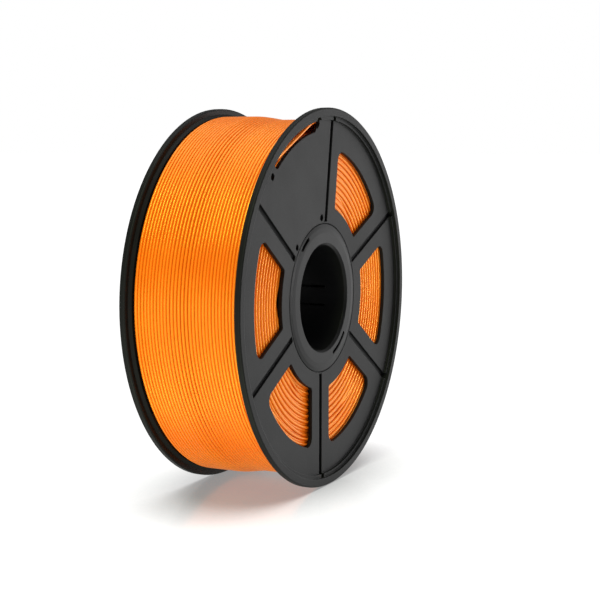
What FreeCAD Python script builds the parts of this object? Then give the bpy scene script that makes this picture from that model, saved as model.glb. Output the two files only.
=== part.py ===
import FreeCAD, Part
import Sketcher
import math
import os

# Filament spool: two dished flanges clamped on a winding drum by a pair of snap-together bore
# sleeves, and the filament wound on it. The spool's axis is Y, the front flange is at -Y, Z is up
# and the origin is the centre of the bore. All lengths are in millimetres, all angles in degrees.
# Depths are measured inwards from the face of a rim. Angles round the axis are seen from the front,
# from +X towards +Z, before the whole spool is turned by turned_at_rest.

SIZES = [
    # the whole spool
    ("spool_radius", 100.0, "outer radius of the rims"),
    ("spool_width", 67.3, "from rim face to rim face"),
    ("turned_at_rest", 4.28, "how far the spool stands turned clockwise, seen from the front"),
    # flanges
    ("rim_width", 3.4, "rim, along the axis"),
    ("rim_edge", 0.6, "chamfer on the rim's outer edges"),
    ("rim_face", 4.3, "flat ring on the rim, radially"),
    ("rim_back", 3.0, "flat back of the rim, radially"),
    ("ledge_width", 2.0, "step inside the rim, radially"),
    ("ledge_depth", 1.4, "depth of that step"),
    ("dish_rim_depth", 2.85, "depth of the plate where it meets the step"),
    ("dish_hub_depth", 4.75, "depth of the plate where it meets the hub"),
    ("plate_wall", 2.0, "thickness of the plate"),
    ("hub_pad", 1.3, "extra thickness of the plate inside the drum"),
    ("spigot_height", 4.0, "ring that centres the drum"),
    ("spigot_wall", 1.6, "thickness of that ring"),
    # windows, grooves and holes in the flanges
    ("spoke_half_width", 10.35, "half the width of the bars between the windows"),
    ("window_rise", 1.3, "from the drum's surface to the inner arc of a window"),
    ("window_inset", 14.0, "from the step's edge to the outer arc of a window"),
    ("window_outer_corner", 5.0, "corner radius at the outer arc"),
    ("window_inner_corner", 1.6, "corner radius at the inner arc"),
    ("groove_width", 3.2, "radial groove down the middle of each bar"),
    ("groove_depth", 1.4, "depth of that groove below the plate"),
    ("groove_gap", 1.2, "from the collar to the start of a groove"),
    ("slot_inset", 2.9, "from the step's edge to the middle of the slot for the filament's end"),
    ("slot_width", 5.4, "width of that slot"),
    ("slot_start_angle", 103.6, "first end of the slot"),
    ("slot_end_angle", 132.4, "last end of the slot"),
    ("slot_eye_radius", 2.9, "round eye at the slot's first end"),
    ("slot_eye_angle", 101.3, "angle of the eye"),
    ("slot_eye_inset", 1.1, "from the step's edge to the middle of the eye"),
    ("tip_hole_radius", 1.8, "small hole beyond the slot"),
    ("tip_hole_angle", 137.4, "angle of that hole"),
    ("tip_hole_inset", 4.7, "from the step's edge to the middle of that hole"),
    ("gate_hole_radius", 1.6, "small hole beside the collar"),
    ("gate_hole_angle", 141.5, "angle of that hole"),
    ("gate_hole_gap", 2.8, "from the collar to the middle of that hole"),
    ("bar_hole_radius", 1.8, "small hole beside a groove's inner end"),
    ("bar_hole_angle", 97.0, "angle of that hole"),
    ("bar_hole_gap", 3.4, "from the collar to the middle of that hole"),
    # drum
    ("drum_radius", 47.2, "surface that the filament is wound on"),
    ("drum_wall", 2.2, "thickness of the drum"),
    ("start_hole_radius", 1.5, "hole for the filament's inner end"),
    # bore sleeves
    ("bore_radius", 28.0, "bore for the spool holder"),
    ("bore_edge", 1.2, "chamfer at each mouth of the bore"),
    ("sleeve_wall", 2.2, "wall of the front sleeve's tube"),
    ("collar_width", 11.2, "collar of a sleeve, from the bore outwards"),
    ("collar_flat", 6.6, "flat top of the collar, from the bore outwards"),
    ("collar_shoulder", 1.9, "steeper band along the collar's edge, radially"),
    ("collar_shoulder_drop", 0.55, "how far that band falls"),
    ("collar_rise", 0.85, "height of the collar's top above the plate beside it"),
    ("seat_depth", 1.1, "recess in the plate for the collar"),
    ("seat_gap", 0.45, "clearance round the collar"),
    ("sleeve_overlap", 14.0, "length over which the sleeves plug together"),
    ("socket_wall", 2.0, "wall of the rear sleeve around the plug"),
    ("latch_count", 4, "latches round the plug"),
    ("latch_width", 9.0, "width of a latch tongue"),
    ("latch_slit", 1.2, "slit on each side of a tongue"),
    ("latch_slit_length", 24.0, "length of those slits"),
    ("latch_hook_height", 1.2, "how far a hook stands out"),
    ("latch_hook_length", 4.0, "hook, along the axis"),
    ("latch_hook_inset", 3.0, "from the plug's end to its hook"),
    ("fit_gap", 0.1, "clearance between moulded pieces"),
    # openings in the front collar
    ("core_slot_offset", 4.6, "from the bore to the middle line of the slot beside it"),
    ("core_slot_width", 1.8, "width of that slot"),
    ("core_slot_angle", 309.0, "angle of its middle"),
    ("core_slot_span", 28.0, "angle that it spans"),
    ("collar_slot_inset", 2.2, "from the collar's edge to the slot in its slope"),
    ("collar_slot_angle", 131.0, "angle of its middle"),
    ("collar_slot_span", 13.0, "angle that it spans"),
    # filament
    ("strand", 1.75, "diameter of the filament"),
    ("turn_spacing", 0.11, "between neighbouring turns"),
    ("nesting", 0.25, "how far a layer sinks into the grooves of the one below"),
    ("winding_inset", 5.1, "from the rim's outer radius down to the top layer"),
    ("winding_gap", 0.25, "between the filament and what it lies against"),
    ("end_pocket_inset", 3.1, "from the step's edge to the room for the filament's end"),
    ("recess_inset", 7.3, "from the step's edge to the deeper room under that"),
    ("pocket_play", 0.55, "spare room beside the filament's end"),
    ("start_gap", 3.7, "from the sleeves to the filament's inner end, inside the drum"),
]

BAR_COUNT = 6  # bars in a flange: all the spaces between them but one have a window
BAR_SPACING = 360 / BAR_COUNT

doc = FreeCAD.newDocument("FilamentSpool")
sheet = doc.addObject("Spreadsheet::Sheet", "Dims")
for row, (alias, size, note) in enumerate(SIZES, start=1):
    sheet.set(f"A{row}", alias)
    sheet.set(f"B{row}", str(size))
    sheet.set(f"C{row}", note)
    sheet.setAlias(f"B{row}", alias)
doc.recompute()


class Size:
    """A number together with the sheet expression that it comes from."""

    def __init__(self, text, number):
        self.text = text
        self.number = number

    def combine(self, sign, other, number):
        return Size(f"({self.text} {sign} {text_of(other)})", number)

    def __add__(self, other):
        return self.combine("+", other, self.number + number_of(other))

    def __sub__(self, other):
        return self.combine("-", other, self.number - number_of(other))

    def __rsub__(self, other):
        return Size(f"({text_of(other)} - {self.text})", number_of(other) - self.number)

    def __mul__(self, other):
        return self.combine("*", other, self.number * number_of(other))

    def __truediv__(self, other):
        return self.combine("/", other, self.number / number_of(other))

    def __neg__(self):
        return Size(f"(0 - {self.text})", -self.number)


def text_of(value):
    return value.text if isinstance(value, Size) else str(value)


def number_of(value):
    return value.number if isinstance(value, Size) else value


def dim(alias):
    return Size(f"Dims.{alias}", float(sheet.get(alias)))


def bind(feature, prop, size):
    """Give a feature's property the value of a size, and keep it bound to the sheet."""
    feature.setExpression(prop, text_of(size))


# ---- places that several pieces share ------------------------------------------------------------

half_width = dim("spool_width") / 2
turned_at_rest = dim("turned_at_rest")
rim_inner_radius = dim("spool_radius") - dim("rim_face")
ledge_inner_radius = rim_inner_radius - dim("ledge_width")
slot_radius = ledge_inner_radius - dim("slot_inset")
slot_eye_place = ledge_inner_radius - dim("slot_eye_inset")
end_pocket_radius = ledge_inner_radius - dim("end_pocket_inset")
plate_wall = dim("plate_wall")
collar_radius = dim("bore_radius") + dim("collar_width")
dish_slope = (dim("dish_hub_depth") - dim("dish_rim_depth")) / (ledge_inner_radius - collar_radius)
drum_inner_radius = dim("drum_radius") - dim("drum_wall")
seat_radius = collar_radius + dim("seat_gap")
seat_face = dim("dish_hub_depth") + dim("seat_depth")
plug_radius = dim("bore_radius") + dim("sleeve_wall")
socket_radius = plug_radius + dim("fit_gap")
socket_outer_radius = socket_radius + dim("socket_wall")
sleeve_clearance_radius = socket_outer_radius + dim("fit_gap")
strand_pitch = dim("strand") + dim("turn_spacing")
wound_radius = dim("spool_radius") - dim("winding_inset")
end_pocket = dim("strand") + dim("pocket_play")


def dish_depth(radius):
    """Depth of the plate's outer face at a radius: the plate is a shallow cone."""
    return dim("dish_rim_depth") + (ledge_inner_radius - radius) * dish_slope


def back_depth(radius):
    """Depth of the plate's inner face at a radius."""
    return dish_depth(radius) + plate_wall


def front(depth):
    """Y of a depth under the front rim's face."""
    return depth - half_width


def rear(depth):
    """Y of a depth under the rear rim's face."""
    return half_width - depth


# ---- drawing helpers -----------------------------------------------------------------------------

def new_body(label):
    body = doc.addObject("PartDesign::Body", label)
    body.Label = label
    return body


def turn_to_rest(piece):
    """Turn a piece about the spool's axis to the angle that it stands at."""
    piece.Placement = FreeCAD.Placement(
        FreeCAD.Vector(), FreeCAD.Rotation(FreeCAD.Vector(0, 1, 0), turned_at_rest.number)
    )
    bind(piece, "Placement.Rotation.Angle", turned_at_rest)


def new_sketch(body, name, plane):
    sketch = body.newObject("Sketcher::SketchObject", name)
    support = [feature for feature in body.Origin.OriginFeatures if feature.Role == plane][0]
    sketch.AttachmentSupport = [(support, "")]
    sketch.MapMode = "FlatFace"
    return sketch


def constrain(sketch, size, kind, *where):
    """Add a constraint whose value is bound to a size."""
    index = sketch.addConstraint(Sketcher.Constraint(kind, *where, number_of(size)))
    if isinstance(size, Size):
        sketch.setExpression(f"Constraints[{index}]", size.text)


def pin(sketch, geometry, point, across, up):
    """Hold a point of a sketch at its place from the sketch's origin."""
    constrain(sketch, across, "DistanceX", -1, 1, geometry, point)
    constrain(sketch, up, "DistanceY", -1, 1, geometry, point)


def draw_outline(sketch, corners):
    """A closed outline of straight lines. Each corner is a pair of sizes, across and up."""
    points = [FreeCAD.Vector(number_of(across), number_of(up), 0) for across, up in corners]
    first = sketch.GeometryCount
    count = len(points)
    for i in range(count):
        sketch.addGeometry(Part.LineSegment(points[i], points[(i + 1) % count]), False)
    for i in range(count):
        sketch.addConstraint(
            Sketcher.Constraint("Coincident", first + i, 2, first + (i + 1) % count, 1)
        )
        pin(sketch, first + i, 1, *corners[i])


def revolve(body, name, corners):
    """Turn an outline in the YZ plane, with the radius up, once round the spool's axis."""
    sketch = new_sketch(body, name + "_outline", "YZ_Plane")
    draw_outline(sketch, corners)
    feature = body.newObject("PartDesign::Revolution", name)
    feature.Profile = sketch
    feature.ReferenceAxis = (sketch, ["H_Axis"])
    feature.Angle = 360
    doc.recompute()
    return feature


def cut_through(body, name, sketch):
    """Pocket a sketch of the XZ plane along the whole axis, both ways."""
    pocket = body.newObject("PartDesign::Pocket", name)
    pocket.Profile = sketch
    pocket.Type = "ThroughAll"
    pocket.Midplane = True
    doc.recompute()
    return pocket


def cut_slab(body, name, sketch, thickness):
    """Pocket a sketch of the YZ plane by half a thickness to each side."""
    pocket = body.newObject("PartDesign::Pocket", name)
    pocket.Profile = sketch
    pocket.Type = "Length"
    pocket.Midplane = True
    bind(pocket, "Length", thickness)
    doc.recompute()
    return pocket


def repeat_round(body, name, feature, count, span=360):
    """Repeat a feature round the spool's axis, clockwise seen from the front."""
    pattern = body.newObject("PartDesign::PolarPattern", name)
    pattern.Originals = [feature]
    axis = [origin for origin in body.Origin.OriginFeatures if origin.Role == "Y_Axis"][0]
    pattern.Axis = (axis, [""])
    pattern.Angle = span
    if isinstance(count, Size):
        bind(pattern, "Occurrences", count)
    else:
        pattern.Occurrences = count
    body.Tip = pattern
    doc.recompute()
    return pattern


def polar(radius, degrees):
    """A point of the XZ plane, for a sketch's first guess."""
    angle = math.radians(number_of(degrees))
    return FreeCAD.Vector(
        number_of(radius) * math.cos(angle), number_of(radius) * math.sin(angle), 0
    )


def ray(sketch, degrees):
    """A construction line from the origin at an angle from the X axis. Returns its index."""
    length = 20
    line = sketch.addGeometry(Part.LineSegment(FreeCAD.Vector(), polar(length, degrees)), True)
    sketch.addConstraint(Sketcher.Constraint("Coincident", line, 1, -1, 1))
    constrain(sketch, length, "Distance", line)
    turn = Size(f"({text_of(degrees)}) * 1 deg", math.radians(number_of(degrees)))
    constrain(sketch, turn, "Angle", -1, 1, line, 1)
    return line


def draw_curved_slot(sketch, radius, half_width_of_slot, start, end):
    """A slot that follows a circle about the axis, with round ends at two angles."""
    along = FreeCAD.Vector(0, 0, 1)
    mid, half = number_of(radius), number_of(half_width_of_slot)
    low, high = math.radians(number_of(start)), math.radians(number_of(end))
    first = sketch.GeometryCount
    for size in (mid - half, mid + half):
        circle = Part.Circle(FreeCAD.Vector(), along, size)
        sketch.addGeometry(Part.ArcOfCircle(circle, low, high), False)
    low_cap = Part.Circle(polar(radius, start), along, half)
    high_cap = Part.Circle(polar(radius, end), along, half)
    sketch.addGeometry(Part.ArcOfCircle(low_cap, low - math.pi, low), False)
    sketch.addGeometry(Part.ArcOfCircle(high_cap, high, high + math.pi), False)
    inner, outer, low_end, high_end = range(first, first + 4)
    for arc in (inner, outer):
        sketch.addConstraint(Sketcher.Constraint("Coincident", arc, 3, -1, 1))
    for one, one_point, other, other_point in (
        (inner, 1, low_end, 1), (low_end, 2, outer, 1), (outer, 2, high_end, 1), (high_end, 2, inner, 2)
    ):
        sketch.addConstraint(Sketcher.Constraint("Tangent", one, one_point, other, other_point))
    for arc, degrees in ((low_end, start), (high_end, end)):
        line = ray(sketch, degrees)
        sketch.addConstraint(Sketcher.Constraint("PointOnObject", arc, 3, line))
    constrain(sketch, radius - half_width_of_slot, "Radius", inner)
    constrain(sketch, half_width_of_slot, "Radius", low_end)


def draw_hole(sketch, radius, place, degrees):
    """A round hole at a distance from the axis and an angle."""
    hole = sketch.addGeometry(
        Part.Circle(polar(place, degrees), FreeCAD.Vector(0, 0, 1), number_of(radius)), False
    )
    line = ray(sketch, degrees)
    sketch.addConstraint(Sketcher.Constraint("PointOnObject", hole, 3, line))
    constrain(sketch, place, "Distance", -1, 1, hole, 3)
    constrain(sketch, radius, "Radius", hole)


# ---- flanges -------------------------------------------------------------------------------------

def draw_window(sketch, middle):
    """A window between two bars: two arcs about the axis, two sides along the bars, round corners."""
    bar = dim("spoke_half_width")
    along = FreeCAD.Vector(0, 0, 1)
    inner_radius = dim("drum_radius") + dim("window_rise")
    outer_radius = ledge_inner_radius - dim("window_inset")
    inner_corner, outer_corner = dim("window_inner_corner"), dim("window_outer_corner")
    half = bar.number

    def place(bar_angle, side, out, off):
        """A point out along a bar and off its middle line, on the window's side."""
        angle = math.radians(bar_angle)
        x = out * math.cos(angle) - side * off * math.sin(angle)
        return FreeCAD.Vector(x, out * math.sin(angle) + side * off * math.cos(angle), 0)

    def reach(corner_middle, corner):
        return math.sqrt(corner_middle ** 2 - (half + corner) ** 2)

    inner_out = reach(inner_radius.number + inner_corner.number, inner_corner.number)
    outer_out = reach(outer_radius.number - outer_corner.number, outer_corner.number)
    bars = ((middle - BAR_SPACING / 2, 1), (middle + BAR_SPACING / 2, -1))
    corner_angle = {}
    sides, inner_caps, outer_caps = [], [], []
    for bar_angle, side in bars:
        sides.append(sketch.addGeometry(Part.LineSegment(
            place(bar_angle, side, inner_out, half), place(bar_angle, side, outer_out, half)), False))
        line_way = math.radians(bar_angle - 90 * side)
        for caps, out, corner, ends in (
            (inner_caps, inner_out, inner_corner.number, "inner"),
            (outer_caps, outer_out, outer_corner.number, "outer"),
        ):
            centre = place(bar_angle, side, out, half + corner)
            arc_way = math.atan2(centre.y, centre.x) + (math.pi if ends == "inner" else 0)
            # an arc runs anticlockwise: from the side to the outer arc on the first bar
            from_line = (side == 1) == (ends == "outer")
            start, end = (line_way, arc_way) if from_line else (arc_way, line_way)
            caps.append(sketch.addGeometry(
                Part.ArcOfCircle(Part.Circle(centre, along, corner), start, end), False))
            corner_angle[ends, side] = math.atan2(centre.y, centre.x)
    arcs = []
    for ends, size in (("inner", inner_radius.number), ("outer", outer_radius.number)):
        circle = Part.Circle(FreeCAD.Vector(), along, size)
        arcs.append(sketch.addGeometry(
            Part.ArcOfCircle(circle, corner_angle[ends, 1], corner_angle[ends, -1]), False))
    for arc, size in zip(arcs, (inner_radius, outer_radius)):
        sketch.addConstraint(Sketcher.Constraint("Coincident", arc, 3, -1, 1))
        constrain(sketch, size, "Radius", arc)
    # the first bar's corners end (point 2) at the outer arc, the second bar's start (point 1) there
    joints = (
        (sides[0], 1, inner_caps[0], 2), (inner_caps[0], 1, arcs[0], 1),
        (sides[0], 2, outer_caps[0], 1), (outer_caps[0], 2, arcs[1], 1),
        (sides[1], 1, inner_caps[1], 1), (inner_caps[1], 2, arcs[0], 2),
        (sides[1], 2, outer_caps[1], 2), (outer_caps[1], 1, arcs[1], 2),
    )
    for joint in joints:
        sketch.addConstraint(Sketcher.Constraint("Tangent", *joint))
    for caps, size in ((inner_caps, inner_corner), (outer_caps, outer_corner)):
        for cap in caps:
            constrain(sketch, size, "Radius", cap)
    for side_line, (bar_angle, side) in zip(sides, bars):
        line = ray(sketch, bar_angle)
        sketch.addConstraint(Sketcher.Constraint("Parallel", side_line, line))
        constrain(sketch, bar, "Distance", -1, 1, side_line)


def make_front_flange():
    """A dished plate with a stepped rim, a spigot for the drum and a recess for the sleeve's collar."""
    body = new_body("front_flange")
    radius, edge = dim("spool_radius"), dim("rim_edge")
    back_radius = radius - dim("rim_back")
    opening = sleeve_clearance_radius
    spigot_outer = drum_inner_radius - dim("fit_gap")
    spigot_inner = spigot_outer - dim("spigot_wall")
    pad_depth = back_depth(spigot_inner) + dim("hub_pad")
    revolve(body, "flange_turned", [
        (front(0), radius - edge),
        (front(edge), radius),
        (front(dim("rim_width") - edge), radius),
        (front(dim("rim_width")), radius - edge),
        (front(dim("rim_width")), back_radius),
        (front(back_depth(rim_inner_radius)), rim_inner_radius),
        (front(back_depth(spigot_outer)), spigot_outer),
        (front(back_depth(spigot_outer) + dim("spigot_height")), spigot_outer),
        (front(back_depth(spigot_outer) + dim("spigot_height")), spigot_inner),
        (front(pad_depth), spigot_inner),
        (front(pad_depth), opening),
        (front(seat_face), opening),
        (front(seat_face), seat_radius),
        (front(dish_depth(seat_radius)), seat_radius),
        (front(dim("dish_rim_depth")), ledge_inner_radius),
        (front(dim("ledge_depth")), ledge_inner_radius),
        (front(dim("ledge_depth")), rim_inner_radius),
        (front(0), rim_inner_radius),
    ])

    window_sketch = new_sketch(body, "window_outline", "XZ_Plane")
    draw_window(window_sketch, BAR_SPACING)
    window = cut_through(body, "window", window_sketch)
    repeat_round(body, "windows", window, BAR_COUNT - 1, span=BAR_SPACING * (BAR_COUNT - 2))

    groove_sketch = new_sketch(body, "groove_outline", "YZ_Plane")
    groove_start, groove_end = collar_radius + dim("groove_gap"), rim_inner_radius
    depth = dim("groove_depth")
    draw_outline(groove_sketch, [
        (front(dish_depth(groove_start) + depth), groove_start),
        (front(dish_depth(groove_end) + depth), groove_end),
        (front(-depth), groove_end),
        (front(-depth), groove_start),
    ])
    groove = cut_slab(body, "groove", groove_sketch, dim("groove_width"))
    repeat_round(body, "grooves", groove, BAR_COUNT)

    slot_sketch = new_sketch(body, "slot_outline", "XZ_Plane")
    draw_curved_slot(slot_sketch, slot_radius, dim("slot_width") / 2,
                     dim("slot_start_angle"), dim("slot_end_angle"))
    cut_through(body, "slot", slot_sketch)
    for name, size, place, degrees in (
        ("slot_eye", dim("slot_eye_radius"), slot_eye_place, dim("slot_eye_angle")),
        ("tip_hole", dim("tip_hole_radius"), ledge_inner_radius - dim("tip_hole_inset"),
         dim("tip_hole_angle")),
        ("gate_hole", dim("gate_hole_radius"), collar_radius + dim("gate_hole_gap"),
         dim("gate_hole_angle")),
        ("bar_hole", dim("bar_hole_radius"), collar_radius + dim("bar_hole_gap"),
         dim("bar_hole_angle")),
    ):
        hole_sketch = new_sketch(body, name + "_outline", "XZ_Plane")
        draw_hole(hole_sketch, size, place, degrees)
        cut_through(body, name, hole_sketch)
    turn_to_rest(body)
    return body


def make_rear_flange(front_flange):
    """The other hand of the front flange."""
    flange = doc.addObject("Part::Mirroring", "rear_flange")
    flange.Label = "rear_flange"
    flange.Source = front_flange
    flange.Normal = (0, 1, 0)
    return flange


# ---- drum and sleeves ----------------------------------------------------------------------------

def make_drum():
    """A plain tube between the two plates, with the hole that holds the filament's inner end."""
    body = new_body("winding_drum")
    end_depth = back_depth(drum_inner_radius) + dim("fit_gap")
    revolve(body, "drum_tube", [
        (front(end_depth), drum_inner_radius),
        (front(end_depth), dim("drum_radius")),
        (rear(end_depth), dim("drum_radius")),
        (rear(end_depth), drum_inner_radius),
    ])
    hole_sketch = new_sketch(body, "start_hole_outline", "XY_Plane")
    hole = hole_sketch.addGeometry(
        Part.Circle(FreeCAD.Vector(0, number_of(start_y()), 0), FreeCAD.Vector(0, 0, 1),
                    dim("start_hole_radius").number), False)
    hole_sketch.addConstraint(Sketcher.Constraint("PointOnObject", hole, 3, -2))
    constrain(hole_sketch, start_y(), "DistanceY", -1, 1, hole, 3)
    constrain(hole_sketch, dim("start_hole_radius"), "Radius", hole)
    pocket = body.newObject("PartDesign::Pocket", "start_hole")
    pocket.Profile = hole_sketch
    pocket.Type = "ThroughAll"
    pocket.Reversed = True
    doc.recompute()
    turn_to_rest(body)
    return body


def start_y():
    """Where the filament's inner end goes into the drum, along the axis."""
    return rear(back_depth(dim("drum_radius")) + dim("spigot_height") + dim("strand") * 2)


def collar_outline(y, tube_end, tube_radius):
    """The collar of a sleeve and the outside of its tube, from the bore's mouth inwards."""
    bore, edge = dim("bore_radius"), dim("bore_edge")
    top = dim("dish_hub_depth") - dim("collar_rise")
    edge_depth = dish_depth(collar_radius)
    return [
        (y(top + edge), bore),
        (y(top), bore + edge),
        (y(top), bore + dim("collar_flat")),
        (y(edge_depth - dim("collar_shoulder_drop")), collar_radius - dim("collar_shoulder")),
        (y(edge_depth), collar_radius),
        (y(seat_face), collar_radius),
        (y(seat_face), tube_radius),
        (tube_end, tube_radius),
    ]


def make_front_sleeve():
    """A collar, and a tube whose slit end plugs into the rear sleeve and hooks behind its windows."""
    body = new_body("front_sleeve")
    plug_end = dim("sleeve_overlap") / 2
    revolve(body, "sleeve_turned",
            collar_outline(front, plug_end, plug_radius) + [(plug_end, dim("bore_radius"))])
    for name, place, size, middle, span in (
        ("core_slot", dim("bore_radius") + dim("core_slot_offset"), dim("core_slot_width"),
         dim("core_slot_angle"), dim("core_slot_span")),
        ("collar_slot", collar_radius - dim("collar_slot_inset"), dim("core_slot_width"),
         dim("collar_slot_angle"), dim("collar_slot_span")),
    ):
        sketch = new_sketch(body, name + "_outline", "XZ_Plane")
        draw_curved_slot(sketch, place, size / 2, middle - span / 2, middle + span / 2)
        cut_through(body, name, sketch)
    make_hooks(body, plug_end)
    make_slits(body, plug_end)
    turn_to_rest(body)
    return body


def hook_middle(plug_end):
    return plug_end - dim("latch_hook_inset") - dim("latch_hook_length") / 2


def make_hooks(body, plug_end):
    """Wedge hooks that stand out of the latch tongues."""
    sketch = new_sketch(body, "hook_outline", "YZ_Plane")
    middle = hook_middle(plug_end)
    half = dim("latch_hook_length") / 2
    root = plug_radius - dim("sleeve_wall") / 2
    draw_outline(sketch, [
        (middle - half, root),
        (middle + half, root),
        (middle + half, plug_radius),
        (middle - half, plug_radius + dim("latch_hook_height")),
    ])
    hook = body.newObject("PartDesign::Pad", "hook")
    hook.Profile = sketch
    hook.Midplane = True
    bind(hook, "Length", dim("latch_width") - dim("latch_slit"))
    doc.recompute()
    repeat_round(body, "hooks", hook, dim("latch_count"))


def make_slits(body, plug_end):
    """Slits on both sides of each tongue, open at the plug's end."""
    sketch = new_sketch(body, "slit_outline", "XY_Plane")
    reach = dim("latch_width") / 2
    for side in (1, -1):
        inner, outer = (reach * side), (reach * side + dim("latch_slit") * side)
        left, right = (inner, outer) if side == 1 else (outer, inner)
        draw_outline(sketch, [
            (left, plug_end - dim("latch_slit_length")),
            (right, plug_end - dim("latch_slit_length")),
            (right, plug_end + dim("fit_gap")),
            (left, plug_end + dim("fit_gap")),
        ])
    slits = body.newObject("PartDesign::Pocket", "slit")
    slits.Profile = sketch
    slits.Type = "ThroughAll"
    slits.Reversed = True
    doc.recompute()
    repeat_round(body, "slits", slits, dim("latch_count"))


def make_rear_sleeve():
    """The matching collar, and a tube that opens into a socket with windows for the hooks."""
    body = new_body("rear_sleeve")
    plug_end = dim("sleeve_overlap") / 2
    socket_floor = plug_end + dim("fit_gap")
    revolve(body, "sleeve_turned", collar_outline(rear, plug_end - dim("sleeve_overlap"),
                                                  socket_outer_radius) + [
        (plug_end - dim("sleeve_overlap"), socket_radius),
        (socket_floor, socket_radius),
        (socket_floor, dim("bore_radius")),
    ])
    sketch = new_sketch(body, "hook_window_outline", "XY_Plane")
    across = dim("latch_width") / 2 + dim("fit_gap")
    along = dim("latch_hook_length") / 2 + dim("fit_gap") * 2
    middle = hook_middle(plug_end)
    draw_outline(sketch, [
        (-across, middle - along),
        (across, middle - along),
        (across, middle + along),
        (-across, middle + along),
    ])
    window = body.newObject("PartDesign::Pocket", "hook_window")
    window.Profile = sketch
    window.Type = "ThroughAll"
    window.Reversed = True
    doc.recompute()
    repeat_round(body, "hook_windows", window, dim("latch_count"))
    turn_to_rest(body)
    return body


# ---- filament ------------------------------------------------------------------------------------

def pocket_y(radius, depth):
    """The Y of the winding's front side where it leaves room behind the front plate."""
    return front(back_depth(radius) + depth)


def make_inner_layers():
    """The wound layers under the top one, as one ring that follows the plates' inner faces."""
    body = new_body("filament_inner_layers")
    gap = dim("winding_gap")
    inner, outer = dim("drum_radius") + dim("fit_gap"), wound_radius - dim("strand")
    recess = ledge_inner_radius - dim("recess_inset")
    recess_y = pocket_y(recess, end_pocket + dim("strand"))
    revolve(body, "layers_turned", [
        (pocket_y(inner, gap), inner),
        (pocket_y(recess, gap), recess),
        (recess_y, recess),
        (recess_y, end_pocket_radius),
        (pocket_y(end_pocket_radius, end_pocket), end_pocket_radius),
        (pocket_y(end_pocket_radius, end_pocket), outer),
        (rear(back_depth(outer) + gap), outer),
        (rear(back_depth(inner) + gap), inner),
    ])
    return body


def make_top_layer():
    """The turns of the top layer side by side: a thin ring with one round ridge for each turn.

    The outline is drawn whole, because ridges that only just touch don't join well as a pattern.
    """
    ridge = dim("strand").number / 2
    pitch = strand_pitch.number
    middle_radius = wound_radius.number - ridge
    under = wound_radius.number - dim("strand").number + dim("fit_gap").number
    last_turn = rear(back_depth(wound_radius) + dim("winding_gap")).number - ridge
    room = last_turn - pocket_y(end_pocket_radius, end_pocket).number - ridge
    turn_count = math.floor(room / pitch) + 1
    first_turn = last_turn - pitch * (turn_count - 1)

    def place(y, radius):
        return FreeCAD.Vector(0, y, radius)

    corners = [place(first_turn - ridge, middle_radius), place(first_turn - ridge, under),
               place(last_turn + ridge, under), place(last_turn + ridge, middle_radius)]
    edges = [Part.LineSegment(*ends).toShape() for ends in zip(corners, corners[1:])]
    for i in range(turn_count):
        y = last_turn - pitch * i
        high = place(y + ridge, middle_radius)
        top = place(y, middle_radius + ridge)
        low = place(y - ridge, middle_radius)
        edges.append(Part.Arc(high, top, low).toShape())
        if i < turn_count - 1:
            next_high = place(y - pitch + ridge, middle_radius)
            edges.append(Part.LineSegment(low, next_high).toShape())
    outline = Part.Face(Part.Wire(edges))
    piece = doc.addObject("Part::Feature", "filament_top_layer")
    piece.Label = "filament_top_layer"
    piece.Shape = outline.revolve(FreeCAD.Vector(), FreeCAD.Vector(0, 1, 0), 360)
    return piece


def spool_point(degrees, radius, y):
    """A point given by its angle seen from the front, its distance from the axis and its Y."""
    angle = math.radians(number_of(degrees) - turned_at_rest.number)
    return FreeCAD.Vector(
        number_of(radius) * math.cos(angle), number_of(y), number_of(radius) * math.sin(angle)
    )


def rounded_path(points):
    """Straight runs through the points, joined by tangent arcs as large as the runs allow."""
    share_of_run = 0.45
    edges = []
    start = points[0]
    for i in range(1, len(points) - 1):
        back = points[i - 1] - points[i]
        ahead = points[i + 1] - points[i]
        trim = share_of_run * min(back.Length, ahead.Length)
        way_back, way_ahead = back.normalize(), ahead.normalize()
        half_turn = (math.pi - way_back.getAngle(way_ahead)) / 2
        bend_radius = trim / math.tan(half_turn)
        middle_way = (way_back + way_ahead).normalize()
        centre = points[i] + middle_way * (bend_radius / math.cos(half_turn))
        arc_middle = centre - middle_way * bend_radius
        arc_start, arc_end = points[i] + way_back * trim, points[i] + way_ahead * trim
        edges.append(Part.LineSegment(start, arc_start).toShape())
        edges.append(Part.Arc(arc_start, arc_middle, arc_end).toShape())
        print(f"bend {i}: radius {bend_radius:.1f} mm")
        start = arc_end
    edges.append(Part.LineSegment(start, points[-1]).toShape())
    return Part.Wire(edges)


def make_strand(label, points):
    """A length of filament along a path."""
    path = rounded_path(points)
    way = points[1] - points[0]
    section = Part.Wire(Part.makeCircle(dim("strand").number / 2, points[0], way))
    piece = doc.addObject("Part::Feature", label)
    piece.Label = label
    piece.Shape = path.makePipeShell([section], True, False)
    straight = section_area() * path.Length
    print(f"{label}: {path.Length:.1f} mm, volume {piece.Shape.Volume / straight:.4f} of its length's")
    return piece


def section_area():
    return math.pi * (dim("strand").number / 2) ** 2


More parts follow.
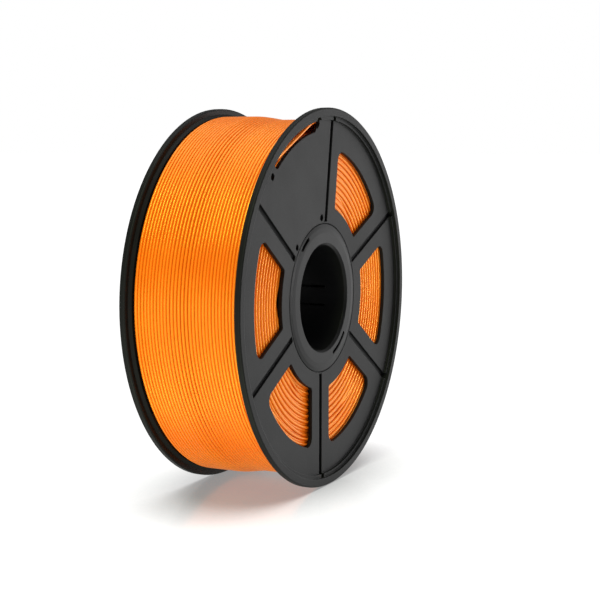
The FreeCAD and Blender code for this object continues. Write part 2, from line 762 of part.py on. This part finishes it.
def make_tail():
    """The filament's outer end: off the winding, out through the eye, along the slot and back in."""
    behind = pocket_y(end_pocket_radius, dim("strand") / 2 + dim("fit_gap"))
    within = front(dish_depth(slot_radius) + plate_wall / 2)
    eye, slot_end = dim("slot_eye_angle"), dim("slot_end_angle")
    layer_rise = dim("strand") - dim("nesting")
    lying = wound_radius - dim("strand") / 2 - layer_rise / 2
    return make_strand("filament_tail", [
        spool_point(eye - 26, lying, behind),
        spool_point(eye - 17, lying, behind),
        spool_point(eye - 8, lying - 0.1, behind),
        spool_point(eye - 0.6, slot_eye_place + 0.3, behind),
        spool_point(eye + 5.6, slot_radius + 1.3, within),
        spool_point(slot_end - 3.4, slot_radius + 0.6, within),
        spool_point(slot_end + 1.0, slot_radius - 0.1, behind),
        spool_point(slot_end + 6, slot_radius - 0.2, behind),
    ])


def make_start():
    """The filament's inner end: through the drum's hole and bent over inside."""
    y = start_y()
    outside = dim("drum_radius")
    inside = sleeve_clearance_radius + dim("start_gap")
    straight_up, bent_over = 90, 4
    return make_strand("filament_start", [
        spool_point(straight_up, outside, y),
        spool_point(straight_up, (outside + inside) / 2, y),
        spool_point(straight_up + bent_over, inside, y - dim("strand") * 2),
    ])


front_flange = make_front_flange()
pieces = [
    front_flange,
    make_rear_flange(front_flange),
    make_drum(),
    make_front_sleeve(),
    make_rear_sleeve(),
    make_inner_layers(),
    make_top_layer(),
    make_tail(),
    make_start(),
]
doc.recompute()

for feature in doc.Objects:
    faults = [state for state in feature.State if state in ("Invalid", "Error")]
    if faults:
        raise RuntimeError(f"{feature.Label} did not build: {faults}")
for piece in pieces:
    if piece.Shape.isNull() or not piece.Shape.isValid() or piece.Shape.Volume <= 0:
        raise RuntimeError(f"{piece.Label} has no valid shape")

os.makedirs("parts", exist_ok=True)
for piece in pieces:
    piece.Shape.exportStep(f"parts/{piece.Label}.step")
    print(piece.Label, len(piece.Shape.Solids), round(piece.Shape.Volume))
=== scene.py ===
import math
import random

import bpy
import numpy as np
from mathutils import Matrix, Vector


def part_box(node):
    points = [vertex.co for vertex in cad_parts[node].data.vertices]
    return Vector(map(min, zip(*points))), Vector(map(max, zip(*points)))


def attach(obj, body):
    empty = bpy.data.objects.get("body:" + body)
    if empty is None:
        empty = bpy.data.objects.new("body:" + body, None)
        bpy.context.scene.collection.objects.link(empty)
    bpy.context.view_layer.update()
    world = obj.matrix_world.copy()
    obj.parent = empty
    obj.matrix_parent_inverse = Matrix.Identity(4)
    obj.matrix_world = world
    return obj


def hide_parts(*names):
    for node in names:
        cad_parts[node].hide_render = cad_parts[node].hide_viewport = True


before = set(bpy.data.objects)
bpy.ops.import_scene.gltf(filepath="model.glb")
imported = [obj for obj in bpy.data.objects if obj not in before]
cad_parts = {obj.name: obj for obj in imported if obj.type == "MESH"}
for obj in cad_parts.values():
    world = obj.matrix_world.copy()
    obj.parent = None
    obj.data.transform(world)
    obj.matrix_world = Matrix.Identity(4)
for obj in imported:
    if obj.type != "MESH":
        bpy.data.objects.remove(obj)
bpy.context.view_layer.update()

MM = 0.001

# ---- sizes, in metres: from the frame where it gives them ----------------------------------------

STRAND = 1.75 * MM
LAYER_RISE = 1.5 * MM
DISH_SLOPE = 0.0353  # how far a plate leans outwards for each unit of radius
TURN_AT_REST = math.radians(4.28)

TOP_LOW, TOP_HIGH = (Vector(corner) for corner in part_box("filament_top_layer"))
BULK_LOW, BULK_HIGH = (Vector(corner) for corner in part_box("filament_inner_layers"))
FLOOR_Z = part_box("front_flange")[0][2]
WOUND_RADIUS = TOP_HIGH.z
BULK_RADIUS = BULK_HIGH.z
DRUM_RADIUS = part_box("winding_drum")[1][2]

# the winding is built up a little more towards the rear flange
SWELL = 0.95 * MM
SWELL_FROM, SWELL_TO = -7 * MM, 10 * MM

# the filament leaves the winding beside the front plate, 26 degrees before the slot's eye
SLOT_EYE_ANGLE = 101.3
TAIL_ANGLE = math.radians(SLOT_EYE_ANGLE - 26) - TURN_AT_REST
TAIL_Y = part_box("filament_tail")[1][1] - STRAND / 2
TOP_TURNS = 30.2
SECOND_LAYER_START = 3.5  # turns from the front plate, so that the room behind the slot stays open
LAST_Y = TOP_HIGH.y - STRAND / 2
PITCH = (LAST_Y - TAIL_Y) / TOP_TURNS

# the winding is set back behind the slot in the front plate, in two steps: inner radius and depth
POCKET_RADIUS, POCKET = 90.6 * MM, 5.0 * MM
RECESS_RADIUS, RECESS = 86.4 * MM, 8.0 * MM

# colours, as linear red, green, blue and alpha
PLASTIC_DARK = (0.0036, 0.0036, 0.0038, 1)
PLASTIC_LIGHT = (0.0056, 0.0056, 0.0059, 1)
# the colour of the painted highlight that lightens the plastic's edges
PLASTIC_EDGE_HIGHLIGHT = (0.022, 0.022, 0.023, 1)
FILAMENT_DEEP = (0.79, 0.128, 0.002, 1)
FILAMENT_BRIGHT = (0.84, 0.170, 0.004, 1)
FILAMENT_SHEEN = (0.70, 0.78, 0.12, 1)


# ---- strand meshes -------------------------------------------------------------------------------

def wobble(angles, size, seed):
    """A slow, smooth unevenness along a strand, repeatable for its seed."""
    chance = random.Random(seed)
    total = np.zeros_like(angles)
    for cycles in (1.7, 3.1, 5.3, 8.9):
        total += np.sin(angles * cycles + chance.uniform(0, 6.28)) * chance.uniform(0.3, 1.0) / cycles
    return total * size


def strand_mesh(name, runs, sides=10):
    """Round strands about the spool's axis. A run is three arrays: angle, distance from the axis, y."""
    corners, faces, uvs = [], [], []
    base = 0
    for angle, radius, y in runs:
        out = np.stack([np.cos(angle), np.zeros_like(angle), np.sin(angle)], axis=1)
        middle = out * radius[:, None]
        middle[:, 1] = y
        length = np.concatenate([[0], np.cumsum(np.linalg.norm(np.diff(middle, axis=0), axis=1))])
        count = len(angle)
        turn = np.arange(sides) * (2 * math.pi / sides)
        ring = middle[:, None, :] + STRAND / 2 * (
            np.cos(turn)[None, :, None] * out[:, None, :]
            + np.sin(turn)[None, :, None] * np.array([0.0, 1.0, 0.0])
        )
        corners.append(ring.reshape(-1, 3))
        here = np.arange(count - 1)[:, None] * sides + np.arange(sides)[None, :]
        beside = np.arange(count - 1)[:, None] * sides + (np.arange(sides)[None, :] + 1) % sides
        quads = np.stack([here, beside, beside + sides, here + sides], axis=2).reshape(-1, 4)
        faces.append(quads + base)
        along = np.repeat(length[:-1], sides).reshape(count - 1, sides)
        ahead = np.repeat(length[1:], sides).reshape(count - 1, sides)
        around = np.tile(np.arange(sides) / sides, (count - 1, 1))
        past = around + 1 / sides
        uv = np.stack([
            np.stack([along, around], 2), np.stack([along, past], 2),
            np.stack([ahead, past], 2), np.stack([ahead, around], 2),
        ], axis=2).reshape(-1, 2)
        uvs.append(uv)
        base += count * sides
    mesh = bpy.data.meshes.new(name)
    points, quads, uv = np.concatenate(corners), np.concatenate(faces), np.concatenate(uvs)
    mesh.from_pydata(points.tolist(), [], quads.tolist())
    layer = mesh.uv_layers.new(name="strand")
    layer.data.foreach_set("uv", uv.astype(np.float32).ravel())
    mesh.polygons.foreach_set("use_smooth", np.ones(len(quads), dtype=bool))
    mesh.update()
    piece = bpy.data.objects.new(name, mesh)
    bpy.context.collection.objects.link(piece)
    return piece


def flank_y(radius):
    """How far out along the axis the winding reaches at a radius: it lies against a dished plate."""
    return BULK_HIGH.y - DISH_SLOPE * (BULK_RADIUS - radius)


def front_room(radius):
    """How much further in the winding's front side lies, behind the plate's slot."""
    return np.where(radius < RECESS_RADIUS, 0.0, np.where(radius < POCKET_RADIUS, RECESS, POCKET))


def swell(y):
    """How far a layer stands above its mean radius at a place along the axis."""
    rise = np.clip((y - SWELL_FROM) / (SWELL_TO - SWELL_FROM), 0, 1)
    return SWELL * (2 * rise * rise * (3 - 2 * rise) - 1)


def make_top_layer():
    """One strand: it goes on from the tail beside the front plate, turn by turn to the rear one."""
    steps = 168
    turn = np.linspace(0, TOP_TURNS, int(steps * TOP_TURNS))
    angle = TAIL_ANGLE - turn * 2 * math.pi
    free = np.clip(turn, 0, 1) * np.clip(TOP_TURNS - turn, 0, 1)
    y = TAIL_Y + turn * PITCH + free * wobble(angle / 7, 0.05 * MM, 1)
    dive = np.clip((turn - TOP_TURNS + 0.12) / 0.12, 0, 1)
    radius = WOUND_RADIUS - STRAND / 2 + swell(y) - dive * dive * LAYER_RISE
    radius = radius - free * np.abs(wobble(angle / 3, 0.05 * MM, 2))
    y = np.minimum(y, flank_y(radius) - STRAND / 2)
    return strand_mesh("top_winding", [(angle, radius, y)], sides=12)


def make_second_layer():
    """The turns that show in the grooves between the top ones."""
    steps = 120
    turns = TOP_TURNS - 3.6  # it ends just short of the rear plate
    turn = np.linspace(0, turns, int(steps * turns))
    angle = TAIL_ANGLE - turn * 2 * math.pi
    y = TAIL_Y + PITCH * SECOND_LAYER_START + turn * PITCH
    radius = WOUND_RADIUS - STRAND / 2 - LAYER_RISE + swell(y)
    y = np.minimum(y, flank_y(radius) - STRAND / 2)
    return strand_mesh("second_winding", [(angle, radius, y)], sides=8)


def flank_run(side, layer, chance):
    """Two turns at one end of the winding: the last of one layer, and the first of the next up."""
    steps = 132
    low = DRUM_RADIUS + STRAND / 2 + 0.1 * MM + layer * LAYER_RISE
    start = chance.uniform(0, 2 * math.pi)
    turn = np.linspace(0, 2.04, steps * 2)
    climb = np.clip((turn - 0.97) / 0.08, 0, 1)
    climb = climb * climb * (3 - 2 * climb)
    angle = start + turn * 2 * math.pi
    radius = low + climb * LAYER_RISE
    radius = radius + wobble(angle, 0.10 * MM, layer * 2 + (side > 0))
    inset = np.where(turn < 1, 0.0, 0.42 * STRAND * climb)
    tuck = np.clip((0.05 - turn) / 0.05, 0, 1) + np.clip((turn - 1.98) / 0.06, 0, 1)
    inset = inset + tuck * STRAND + np.abs(wobble(angle, 0.10 * MM, layer * 2 + 51 + (side > 0)))
    if side < 0:
        inset = inset + front_room(low)
    y = side * (flank_y(radius) - STRAND / 2 - inset)
    return angle, radius, y


def make_flank(side, name):
    """The side of the winding that shows in a flange's windows."""
    chance = random.Random(11 if side > 0 else 12)
    layers = int((BULK_RADIUS - DRUM_RADIUS) / LAYER_RISE)
    if side < 0:
        layers -= 1  # the filament's end has the room beside the outermost layers
    runs = [flank_run(side, layer, chance) for layer in range(0, layers - 1, 2)]
    return strand_mesh(name, runs, sides=10)


def make_core():
    """The body of the winding behind its outermost strands, ridged like them."""
    under = STRAND * 0.75
    inner = DRUM_RADIUS + 0.1 * MM
    outer = BULK_RADIUS - STRAND / 2 - SWELL
    rows = 44
    front, rear = [], []
    for i in range(rows + 1):
        radius = inner + (outer - inner) * i / rows
        ridge = 0.12 * STRAND * (i % 2)
        front.append((radius, float(front_room(radius)) + under + ridge - flank_y(radius)))
        rear.append((radius, flank_y(radius) - under))
    across = np.linspace(front[-1][1], rear[-1][1], 12)[1:-1]
    top = [(outer + SWELL + float(swell(y)), float(y)) for y in across]
    return lathe("winding_core", front + top + rear[::-1], 160)


def lathe(name, outline, steps):
    """Turn a closed outline of (radius, y) round the spool's axis."""
    count = len(outline)
    points, faces = [], []
    for i in range(steps):
        angle = 2 * math.pi * i / steps
        for radius, y in outline:
            points.append((radius * math.cos(angle), y, radius * math.sin(angle)))
    for i in range(steps):
        ahead = (i + 1) % steps
        for j in range(count):
            beside = (j + 1) % count
            faces.append((i * count + j, i * count + beside, ahead * count + beside, ahead * count + j))
    mesh = bpy.data.meshes.new(name)
    mesh.from_pydata(points, [], faces)
    mesh.update()
    piece = bpy.data.objects.new(name, mesh)
    bpy.context.collection.objects.link(piece)
    return piece


# ---- materials -----------------------------------------------------------------------------------

class Nodes:
    """A short way to write a material's nodes."""

    def __init__(self, name):
        self.material = bpy.data.materials.new(name)
        self.material.use_nodes = True
        self.tree = self.material.node_tree
        self.shader = self.tree.nodes["Principled BSDF"]

    def add(self, kind, settings=None, **inputs):
        node = self.tree.nodes.new(kind)
        for key, value in (settings or {}).items():
            setattr(node, key, value)
        for key, value in inputs.items():
            self.feed(node, key.replace("_", " "), value)
        return node

    def feed(self, node, socket, value):
        target = node.inputs[int(socket[1:])] if socket[0] == "#" else node.inputs[socket]
        if hasattr(value, "is_output"):
            self.tree.links.new(value, target)
        else:
            target.default_value = value

    def maths(self, operation, first, second=0.0):
        node = self.tree.nodes.new("ShaderNodeMath")
        node.operation = operation
        self.feed(node, "#0", first)
        self.feed(node, "#1", second)
        return node.outputs[0]

    def span(self, value, low, high, to_low, to_high):
        node = self.add("ShaderNodeMapRange", None, From_Min=low, From_Max=high, To_Min=to_low,
                        To_Max=to_high)
        self.tree.links.new(value, node.inputs["Value"])
        return node.outputs["Result"]

    def blend(self, factor, first, second):
        node = self.add("ShaderNodeMix", {"data_type": "RGBA"})
        self.feed(node, "#0", factor)
        self.feed(node, "#6", first)
        self.feed(node, "#7", second)
        return node.outputs[2]


def spool_plastic(name, roughness, specular):
    """Dark grey moulded plastic: fine eroded-mould grain, faint flow marks, edges lightened by a painted
    highlight.
    """
    n = Nodes(name)
    place = n.add("ShaderNodeTexCoord").outputs["Object"]
    grain = n.add("ShaderNodeTexNoise", None, Vector=place, Scale=2600.0, Detail=3.0).outputs["Fac"]
    flow = n.add("ShaderNodeTexNoise", None, Vector=place, Scale=24.0, Detail=4.0,
                 Distortion=1.2).outputs["Fac"]
    soft = n.add("ShaderNodeBevel", {"samples": 6}, Radius=0.6 * MM).outputs["Normal"]
    true = n.add("ShaderNodeNewGeometry").outputs["Normal"]
    same = n.add("ShaderNodeVectorMath", {"operation": "DOT_PRODUCT"})
    n.tree.links.new(soft, same.inputs[0])
    n.tree.links.new(true, same.inputs[1])
    # painted highlight: where the rounded normal leans away from the true one, the edges are lightened
    # in the base colour
    edge = n.span(same.outputs["Value"], 0.995, 0.80, 0.0, 1.0)
    body = n.blend(n.span(flow, 0.3, 0.7, 0.0, 1.0), PLASTIC_DARK, PLASTIC_LIGHT)
    edge_highlight = n.blend(n.maths("MULTIPLY", edge, 0.5), body, PLASTIC_EDGE_HIGHLIGHT)
    n.tree.links.new(edge_highlight, n.shader.inputs["Base Color"])
    rough = n.maths("ADD", n.span(flow, 0.3, 0.7, roughness - 0.03, roughness + 0.03),
                    n.span(grain, 0.3, 0.7, -0.04, 0.04))
    n.tree.links.new(rough, n.shader.inputs["Roughness"])
    bump = n.add("ShaderNodeBump", None, Strength=0.15, Distance=0.03 * MM, Height=grain, Normal=soft)
    n.tree.links.new(bump.outputs["Normal"], n.shader.inputs["Normal"])
    n.shader.inputs["Specular IOR Level"].default_value = specular
    return n.material


def filament_plastic():
    """Silk orange filament: drawn lines along the strand and small changes of tone from turn to turn."""
    n = Nodes("silk_filament")
    uv = n.add("ShaderNodeUVMap", {"uv_map": "strand"}).outputs["UV"]
    stretch = n.add("ShaderNodeMapping", None, Vector=uv, Scale=(6.0, 14.0, 1.0)).outputs["Vector"]
    drawn = n.add("ShaderNodeTexNoise", None, Vector=stretch, Scale=1.0, Detail=5.0).outputs["Fac"]
    place = n.add("ShaderNodeTexCoord").outputs["Object"]
    tone = n.add("ShaderNodeTexNoise", None, Vector=place, Scale=38.0, Detail=3.0).outputs["Fac"]
    mixed = n.maths("ADD", n.maths("MULTIPLY", drawn, 0.5), n.maths("MULTIPLY", tone, 0.5))
    colour = n.blend(n.span(mixed, 0.38, 0.62, 0.0, 1.0), FILAMENT_DEEP, FILAMENT_BRIGHT)
    n.tree.links.new(colour, n.shader.inputs["Base Color"])
    n.tree.links.new(n.span(drawn, 0.3, 0.7, 0.24, 0.34), n.shader.inputs["Roughness"])
    bump = n.add("ShaderNodeBump", None, Strength=0.12, Distance=0.05 * MM, Height=drawn)
    n.tree.links.new(bump.outputs["Normal"], n.shader.inputs["Normal"])
    n.shader.inputs["Metallic"].default_value = 0.15
    n.shader.inputs["IOR"].default_value = 1.8
    n.shader.inputs["Specular IOR Level"].default_value = 0.75
    n.shader.inputs["Specular Tint"].default_value = FILAMENT_SHEEN
    return n.material


def dress(piece, material):
    piece.data.materials.clear()
    piece.data.materials.append(material)


# ---- the pieces ----------------------------------------------------------------------------------

PLASTIC = spool_plastic("spool_plastic", 0.45, 0.11)
SLEEVE_PLASTIC = spool_plastic("sleeve_plastic", 0.36, 0.10)
FILAMENT = filament_plastic()

for nodes, material in (
    (("front_flange", "rear_flange", "winding_drum"), PLASTIC),
    (("front_sleeve", "rear_sleeve"), SLEEVE_PLASTIC),
    (("filament_tail", "filament_start"), FILAMENT),
):
    for node in nodes:
        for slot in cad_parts[node].material_slots:
            slot.material = material

for piece, node in (
    (make_top_layer(), "filament_top_layer"),
    (make_second_layer(), "filament_inner_layers"),
    (make_core(), "filament_inner_layers"),
    (make_flank(-1, "front_flank_winding"), "filament_inner_layers"),
    (make_flank(1, "rear_flank_winding"), "filament_inner_layers"),
):
    dress(piece, FILAMENT)
    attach(piece, "root")
    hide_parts(node)


# ---- floor, light and camera ---------------------------------------------------------------------

def make_floor():
    """A white floor, as bright as the background, that greys where the object shades it."""
    reach = 40.0
    mesh = bpy.data.meshes.new("floor")
    mesh.from_pydata([(-reach, -reach, FLOOR_Z), (reach, -reach, FLOOR_Z), (reach, reach, FLOOR_Z),
                      (-reach, reach, FLOOR_Z)], [], [(0, 1, 2, 3)])
    floor = bpy.data.objects.new("floor", mesh)
    bpy.context.collection.objects.link(floor)
    n = Nodes("floor_white")
    n.shader.inputs["Base Color"].default_value = (0.08, 0.08, 0.08, 1)
    n.shader.inputs["Roughness"].default_value = 0.20
    n.shader.inputs["Specular IOR Level"].default_value = 0.3
    n.shader.inputs["Emission Color"].default_value = (1, 1, 1, 1)
    # painted shadow: ambient occlusion dims the floor's glow where the object stands close, greying it
    # there
    shade = n.add("ShaderNodeAmbientOcclusion", {"samples": 16}, Distance=0.065)
    glow = n.span(shade.outputs["AO"], 0.40, 0.88, 0.27, 0.97)
    n.tree.links.new(glow, n.shader.inputs["Emission Strength"])
    dress(floor, n.material)
    floor.visible_shadow = False  # the lamp under the floor shines through it


def make_world():
    """A white background that lights the object only dimly: the softboxes do most of it."""
    world = bpy.data.worlds.new("studio")
    world.use_nodes = True
    tree = world.node_tree
    background = tree.nodes["Background"]
    background.inputs["Color"].default_value = (1, 1, 1, 1)
    path = tree.nodes.new("ShaderNodeLightPath")
    strength = tree.nodes.new("ShaderNodeMapRange")
    strength.inputs["To Min"].default_value = 0.28
    strength.inputs["To Max"].default_value = 1.0
    tree.links.new(path.outputs["Is Camera Ray"], strength.inputs["Value"])
    tree.links.new(strength.outputs["Result"], background.inputs["Strength"])
    bpy.context.scene.world = world


def make_light(name, place, size, power, colour):
    """A soft rectangular lamp that points at the middle of the spool and isn't seen itself."""
    data = bpy.data.lights.new(name, "AREA")
    data.shape = "RECTANGLE"
    data.size, data.size_y = size
    data.energy = power
    data.color = colour
    light = bpy.data.objects.new(name, data)
    light.location = place
    light.rotation_euler = (-Vector(place)).to_track_quat("-Z", "Y").to_euler()
    light.visible_camera = False
    bpy.context.collection.objects.link(light)


def make_camera():
    data = bpy.data.cameras.new("camera")
    data.lens, data.sensor_width = 83.2, 36.0
    data.clip_start = 0.01
    camera = bpy.data.objects.new("camera", data)
    camera.location = (-0.6608, -0.3430, 0.0785)
    aim = Vector((0.0, -0.01528, -0.00183))
    camera.rotation_euler = (aim - camera.location).to_track_quat("-Z", "Y").to_euler()
    bpy.context.collection.objects.link(camera)
    bpy.context.scene.camera = camera


WHITE = (1.0, 1.0, 1.0)
GOLDEN = (0.84, 1.0, 0.55)  # brings out the yellow in the winding's bands

LIGHTS = (
    # name, place in metres, size in metres, watts, colour
    ("key_softbox", (-0.82, -0.08, 1.06), (0.30, 0.85), 12.5, GOLDEN),
    ("under_softbox", (-0.80, -0.05, -0.95), (0.30, 0.85), 12.5, GOLDEN),
    ("left_fill", (-1.25, -0.10, 0.0), (0.9, 0.5), 2.4, WHITE),
    ("top_softbox", (0.1, -0.1, 1.6), (1.8, 1.8), 18.5, WHITE),
    ("plate_softbox", (1.15, -0.62, 0.0), (0.9, 1.1), 3.9, WHITE),
    ("rim_strip", (0.62, -1.05, 0.05), (0.12, 0.9), 7.0, WHITE),
)

make_floor()
make_world()
make_camera()
for light in LIGHTS:
    make_light(*light)

bpy.context.scene.view_settings.view_transform = "Standard"
